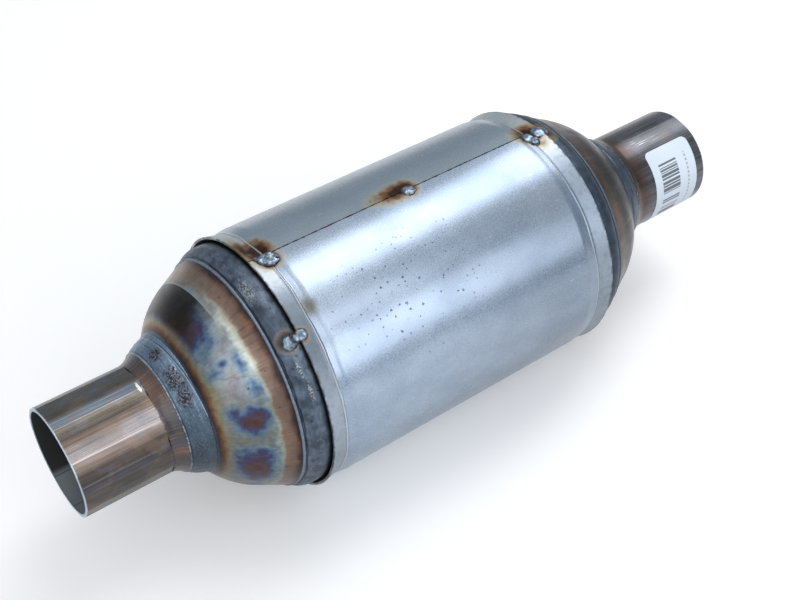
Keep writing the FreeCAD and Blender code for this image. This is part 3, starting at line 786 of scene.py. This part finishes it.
def roughen(piece, name, size, depth):
    """Pushes a piece's skin in and out by up to half of depth, in lumps of that size; millimetres."""
    texture = bpy.data.textures.new(name, "CLOUDS")
    texture.noise_scale = size * MM
    apply(piece, "DISPLACE", texture=texture, strength=depth * MM, mid_level=0.5, texture_coords="LOCAL")


def tidy_mesh():
    """Merges doubles and turns the faces outward; ends in object mode with smooth faces."""
    bpy.ops.mesh.select_all(action="SELECT")
    bpy.ops.mesh.remove_doubles(threshold=1e-6)
    bpy.ops.mesh.normals_make_consistent(inside=False)
    bpy.ops.object.mode_set(mode="OBJECT")
    bpy.ops.object.shade_smooth()


def turned_ring(name, outline, sides):
    """A closed ring about the X axis, from its section's corners (x, radius) in order."""
    start_piece()
    x, radius = outline[0]
    bpy.ops.mesh.primitive_circle_add(
        vertices=sides, radius=radius * MM, location=(x * MM, 0, 0), rotation=(0, math.pi / 2, 0)
    )
    ring = bpy.context.object
    ring.name = name
    keep_place()
    bpy.ops.object.mode_set(mode="EDIT")
    bpy.ops.mesh.select_mode(type="VERT")
    bpy.ops.mesh.select_all(action="SELECT")
    for (x, radius), (next_x, next_radius) in zip(outline, outline[1:]):
        bpy.ops.mesh.extrude_region_move(TRANSFORM_OT_translate={"value": ((next_x - x) * MM, 0, 0)})
        grow = next_radius / radius
        bpy.ops.transform.resize(value=(1, grow, grow), center_override=(next_x * MM, 0, 0))
    bpy.ops.mesh.select_all(action="DESELECT")
    bpy.ops.mesh.select_non_manifold()
    bpy.ops.mesh.bridge_edge_loops()
    tidy_mesh()
    return ring


def finish_piece(piece, node, material):
    """Puts a finished piece in the place of its CAD node."""
    dress(piece, material)
    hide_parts(node)
    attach(piece, "root")


def at_end(outline, outlet):
    """An inlet outline as it is, or mirrored for the outlet end."""
    return [(2 * MIDDLE - x, radius) for x, radius in outline] if outlet else outline


def neck_weld_outline():
    """Section of a neck weld: a torn edge on the pipe, a flat band, a fine line, and a fillet."""
    start, end = WELD_START, WELD_END
    slope = (WELD_RADIUS - WELD_TOE) / (end - start)

    def skin(x, lift=0.0):
        return x, WELD_TOE + (x - start) * slope + lift

    return [
        skin(start, -0.4), skin(start + 0.05, 0.25), skin(start + 0.45, 0.42), skin(start + 0.9, 0.1),
        skin(start + 1.3, 0.28), skin(start + 3.0, 0.5), skin(start + 5.0, 0.55), skin(start + 6.8, 0.4),
        skin(start + 7.6, 0.15), skin(start + 7.9, -0.2), skin(start + 8.3, 0.1), skin(start + 9.2, 0.2),
        skin(end - 0.1, 0.0), skin(end, -0.3), skin(end - 2.0, -1.6), skin(start + 2.0, -1.2),
    ]


def weld_lump(name, beads, grain):
    """Weld metal on the skin: beads of (x, angle, radius of the skin, long, wide, high), fused."""
    start_piece()
    lumps = []
    for x, angle, skin, long, wide, high in beads:
        turn = math.radians(angle)
        place = (x * MM, -skin * math.sin(turn) * MM, skin * math.cos(turn) * MM)
        bpy.ops.mesh.primitive_ico_sphere_add(
            subdivisions=4, radius=1.0, location=place, rotation=(turn, 0, 0),
            scale=(long * MM, wide * MM, high * MM),
        )
        keep_place()
        lumps.append(bpy.context.object)
    for lump in lumps:
        lump.select_set(True)
    bpy.context.view_layer.objects.active = lumps[0]
    if len(lumps) > 1:
        bpy.ops.object.join()
    tack = bpy.context.object
    tack.name = name
    apply(tack, "REMESH", mode="VOXEL", voxel_size=grain)
    apply(tack, "SMOOTH", factor=0.5, iterations=4)
    bpy.ops.object.shade_smooth()
    return tack


# --- operators


class CONVERTER_OT_stage(bpy.types.Operator):
    """Sets the pale floor, the soft lamps, the plain surroundings and the camera"""

    bl_idname = "converter.stage"
    bl_label = "Stage"

    def execute(self, context):
        self.floor(context)
        self.surroundings(context)
        self.lamps()
        self.camera(context)
        return {"FINISHED"}

    def floor(self, context):
        start_piece()
        bpy.ops.mesh.primitive_plane_add(size=12, location=(MIDDLE * MM, 0, CAD_BOX[0].z - 0.0004))
        floor = context.object
        floor.name = "studio_floor"
        white = (1.0, 1.0, 1.0, 1.0)
        finish = Finish("pale_floor", context.scene.converter_colours.floor, 0.9, metallic=0.0)
        seen = finish.seen()
        finish.paint(seen, white)
        finish.shader.inputs["Specular IOR Level"].default_value = 0.0
        finish.set(finish.shader.inputs["Emission Color"], white)
        finish.set(finish.shader.inputs["Emission Strength"], seen * FLOOR_GLOW)
        dress(floor, finish.done())

    def surroundings(self, context):
        world = bpy.data.worlds.new("studio_room")
        context.scene.world = world
        room = Tree(world)
        plain = room.nodes["Background"]
        plain.inputs["Color"].default_value = rgba(tone(236, 240, 246))
        plain.inputs["Strength"].default_value = ROOM_LIGHT
        direction = room.add("TexCoord").outputs["Generated"]
        height = room.add("SeparateXYZ", Vector=direction).outputs["Z"]
        sky = room.ramp(height, (0.0, (184, 192, 202)), (0.35, (190, 200, 212)), (1.0, (255, 255, 255)))[0]
        mixed = room.add("MixShader", Fac=room.seen())
        room.set(mixed.inputs[1], plain.outputs[0])
        room.set(mixed.inputs[2], room.add("Background", Color=sky).outputs[0])
        room.set(room.nodes["World Output"].inputs["Surface"], mixed.outputs[0])

    def lamps(self):
        middle = Vector((MIDDLE * MM, 0, 0))
        # way from the middle, distance, width and height in metres, and radiance
        for name, way, distance, width, height, strength in (
            ("overhead_softbox", (0.48, 0.15, 0.86), 1.2, 0.55, 1.3, 2.45),
            ("front_softbox", (0.22, -0.84, 0.39), 1.2, 0.95, 0.6, 1.8),
            ("left_softbox", (-0.75, -0.5, 0.42), 1.1, 0.9, 0.9, 0.8),
            ("pipe_softbox", (0.1, -0.56, 0.74), 0.52, 0.3, 0.12, 1.35),
        ):
            way = Vector(way).normalized()
            start_piece()
            bpy.ops.object.light_add(type="AREA", location=middle + way * distance)
            lamp = bpy.context.object
            lamp.name = name
            lamp.rotation_euler = way.to_track_quat("Z", "Y").to_euler()
            lamp.data.shape = "RECTANGLE"
            lamp.data.size = width
            lamp.data.size_y = height
            lamp.data.energy = strength * math.pi * width * height

    def camera(self, context):
        level = math.cos(CAMERA_RISE)
        back = Vector((math.sin(CAMERA_TURN) * level, -math.cos(CAMERA_TURN) * level, math.sin(CAMERA_RISE)))
        start_piece()
        bpy.ops.object.camera_add(location=CAMERA_AIM + back * CAMERA_DISTANCE)
        camera = context.object
        camera.rotation_mode = "QUATERNION"
        camera.rotation_quaternion = (-back).to_track_quat("-Z", "Y")
        camera.data.lens = context.scene.converter_sizes.lens
        camera.data.sensor_width = 36
        camera.data.clip_start = 0.01
        context.scene.camera = camera
        context.scene.view_settings.view_transform = "Standard"


class CONVERTER_OT_pipes(bpy.types.Operator):
    """Finishes the inlet and outlet pipes as drawn and heat-browned tube"""

    bl_idname = "converter.pipes"
    bl_label = "Pipes"

    def execute(self, context):
        colours = context.scene.converter_colours
        near = pipe_finish("drawn_inlet_pipe", colours.pipe, colours.pipe_dark, inlet=True)
        far = pipe_finish("scaled_outlet_pipe", colours.pipe_far, tone(60, 56, 54), inlet=False)
        dress_node("inlet_pipe", near)
        dress_node("outlet_pipe", far)
        return {"FINISHED"}


class CONVERTER_OT_cones(bpy.types.Operator):
    """Finishes the two cones with their heat colours"""

    bl_idname = "converter.cones"
    bl_label = "Cones"

    def execute(self, context):
        colours = context.scene.converter_colours
        dress_node("inlet_cone", inlet_cone_finish(colours))
        dress_node("outlet_cone", outlet_cone_finish(colours))
        return {"FINISHED"}


class CONVERTER_OT_casing(bpy.types.Operator):
    """Finishes the dark can and the aluminised heat shield over it"""

    bl_idname = "converter.casing"
    bl_label = "Can and shield"

    def execute(self, context):
        colours = context.scene.converter_colours
        dress_node("canister", can_finish(colours))
        dress_node("heat_shield", shield_finish(colours))
        return {"FINISHED"}


class CONVERTER_OT_neck_welds(bpy.types.Operator):
    """Models the broad weld bands between the pipes and the cones"""

    bl_idname = "converter.neck_welds"
    bl_label = "Neck welds"

    def execute(self, context):
        ripple = context.scene.converter_sizes.weld_ripple / MM
        for end in ("inlet", "outlet"):
            outlet = end == "outlet"
            weld = turned_ring(end + "_neck_weld_band", at_end(neck_weld_outline(), outlet), 240)
            apply(weld, "SUBSURF", levels=1, render_levels=1)
            roughen(weld, end + "_weld_sway", 9.0, ripple * 2.0)
            roughen(weld, end + "_weld_swell", 3.0, ripple)
            roughen(weld, end + "_weld_grit", 0.8, ripple * 0.6)
            colours = context.scene.converter_colours
            material = neck_weld_finish(colours, soot_and_shade=0 if outlet else 1)
            finish_piece(weld, end + "_neck_weld", material)
        return {"FINISHED"}


class CONVERTER_OT_ring_welds(bpy.types.Operator):
    """Models the thin beads between the cones and the can"""

    bl_idname = "converter.ring_welds"
    bl_label = "Ring welds"

    def execute(self, context):
        material = bead_finish(context.scene.converter_colours)
        ripple = context.scene.converter_sizes.bead_ripple / MM
        middle = (BEAD_START + BEAD_END) / 2
        half = (BEAD_END - BEAD_START) / 2
        centre = BEAD_RADIUS - half * 0.9
        for end in ("inlet", "outlet"):
            section = [
                (middle + half * math.cos(turn), centre + half * 0.9 * math.sin(turn))
                for turn in (math.radians(30 * step) for step in range(12))
            ]
            bead = turned_ring(end + "_ring_bead", at_end(section, end == "outlet"), 300)
            roughen(bead, end + "_bead_sway", 5.0, ripple)
            roughen(bead, end + "_bead_grit", 1.0, ripple * 0.4)
            finish_piece(bead, end + "_ring_weld", material)
        return {"FINISHED"}


class CONVERTER_OT_tacks(bpy.types.Operator):
    """Models the lumpy tack welds along the shield's seam and edges"""

    bl_idname = "converter.tacks"
    bl_label = "Tack welds"

    def execute(self, context):
        grain = context.scene.converter_sizes.tack_grain
        material = tack_finish(context.scene.converter_colours)
        skin, can = SHIELD_RADIUS - 0.9, CAN_RADIUS - 0.2
        # beads of each tack, as weld_lump takes them
        groups = {
            "inlet_seam_tack": [
                (100.7, 4.4, skin, 4.2, 4.0, 1.2), (98.0, 3.6, skin, 3.2, 3.0, 1.0),
                (96.0, 2.0, skin, 1.8, 1.6, 0.8),
            ],
            "seam_plug_weld": [(170.9, 2.3, skin + 0.1, 3.6, 3.5, 0.9)],
            "outlet_seam_tack": [
                (236.0, 3.6, skin, 3.2, 3.4, 1.0), (237.4, 6.6, skin, 2.6, 3.0, 1.0),
            ],
            "inlet_edge_tacks": [],
            "outlet_edge_tacks": [
                (242.2, 3.0, skin, 3.4, 3.8, 1.3), (244.9, 2.4, can + 0.4, 3.0, 3.2, 1.9),
            ],
        }
        for angle in (39.5, 160, 280):
            groups["inlet_edge_tacks"] += [
                (88.2, angle + 0.8, can, 3.1, 3.1, 1.9), (93.3, angle - 0.2, skin, 2.8, 2.8, 1.3),
                (90.8, angle + 0.2, can + 0.8, 2.7, 2.5, 1.9),
            ]
            if angle > 90:
                groups["outlet_edge_tacks"] += [
                    (2 * MIDDLE - 88.2, angle, can, 2.8, 2.8, 1.9),
                    (2 * MIDDLE - 93.4, angle, skin, 2.4, 2.4, 1.2),
                    (2 * MIDDLE - 90.9, angle, can + 0.5, 2.0, 1.9, 1.7),
                ]
        for node, beads in groups.items():
            tack = weld_lump(node + "_metal", beads, grain)
            roughen(tack, node + "_lumps", 2.2, 0.6)
            roughen(tack, node + "_grit", 0.7, 0.12)
            finish_piece(tack, node, material)
        return {"FINISHED"}


class CONVERTER_OT_core(bpy.types.Operator):
    """Models the core's outer skin, and finishes the mat and the seals round it"""

    bl_idname = "converter.core"
    bl_label = "Core"

    def execute(self, context):
        sizes = context.scene.converter_sizes
        material = ceramic_finish(context.scene.converter_colours)
        pitch, wall = sizes.cell_pitch, sizes.cell_wall
        inner = (CORE_RADIUS - 1.2) * MM
        cells = 2 * int(inner / pitch)
        start_piece()
        bpy.ops.mesh.primitive_grid_add(
            x_subdivisions=cells, y_subdivisions=cells, size=cells * pitch,
            location=(CORE_START * MM, 0, 0), rotation=(0, -math.pi / 2, 0),
        )
        core = context.object
        core.name = "honeycomb_core"
        keep_place()
        for face in core.data.polygons:
            face.select = math.hypot(face.center.y, face.center.z) > inner - pitch * 0.5
        bpy.ops.object.mode_set(mode="EDIT")
        bpy.ops.mesh.select_mode(type="FACE")
        # Known fault: all points are still selected, so every face goes and only the skin is left.
        bpy.ops.mesh.delete(type="FACE")
        bpy.ops.mesh.select_all(action="SELECT")
        bpy.ops.mesh.inset(thickness=wall / 2, use_individual=True)
        bpy.ops.mesh.delete(type="FACE")
        bpy.ops.mesh.select_all(action="SELECT")
        depth = (CORE_END - CORE_START) * MM
        bpy.ops.mesh.extrude_region_move(TRANSFORM_OT_translate={"value": (depth, 0, 0)})
        tidy_mesh()
        bpy.ops.object.shade_flat()
        turned_ring(
            "core_skin",
            [
                (CORE_START, CORE_RADIUS - 2.2), (CORE_START, CORE_RADIUS - 0.3),
                (CORE_START + 0.3, CORE_RADIUS), (CORE_END - 0.3, CORE_RADIUS),
                (CORE_END, CORE_RADIUS - 0.3), (CORE_END, CORE_RADIUS - 2.2),
            ],
            180,
        )
        core.select_set(True)
        context.view_layer.objects.active = core
        bpy.ops.object.join()
        finish_piece(core, "ceramic_core", material)
        dress_node("support_mat", fibre_finish())
        knit = knit_finish()
        dress_node("inlet_mat_seal", knit)
        dress_node("outlet_mat_seal", knit)
        return {"FINISHED"}


class CONVERTER_OT_label(bpy.types.Operator):
    """Finishes the paper label on the outlet pipe with plain grey bars"""

    bl_idname = "converter.label"
    bl_label = "Label"

    def execute(self, context):
        dress_node("label", label_finish(context.scene.converter_colours))
        return {"FINISHED"}


STEPS = (
    CONVERTER_OT_stage,
    CONVERTER_OT_pipes,
    CONVERTER_OT_cones,
    CONVERTER_OT_casing,
    CONVERTER_OT_neck_welds,
    CONVERTER_OT_ring_welds,
    CONVERTER_OT_tacks,
    CONVERTER_OT_core,
    CONVERTER_OT_label,
)


class CONVERTER_PT_steps(bpy.types.Panel):
    """Lists the steps that dress the converter, and its sizes and colours"""

    bl_idname = "CONVERTER_PT_steps"
    bl_label = "Converter"
    bl_space_type = "VIEW_3D"
    bl_region_type = "UI"
    bl_category = "Converter"

    def draw(self, context):
        for step in STEPS:
            self.layout.operator(step.bl_idname)
        for group in (context.scene.converter_sizes, context.scene.converter_colours):
            for name in group.__annotations__:
                self.layout.prop(group, name)


CLASSES = (ConverterColours, ConverterSizes, *STEPS, CONVERTER_PT_steps)


def register():
    for each in CLASSES:
        bpy.utils.register_class(each)
    bpy.types.Scene.converter_colours = bpy.props.PointerProperty(type=ConverterColours)
    bpy.types.Scene.converter_sizes = bpy.props.PointerProperty(type=ConverterSizes)


def unregister():
    del bpy.types.Scene.converter_sizes
    del bpy.types.Scene.converter_colours
    for each in reversed(CLASSES):
        bpy.utils.unregister_class(each)


def main():
    register()
    for step in STEPS:
        group, name = step.bl_idname.split(".")
        getattr(getattr(bpy.ops, group), name)()


if __name__ == "__main__":
    main()
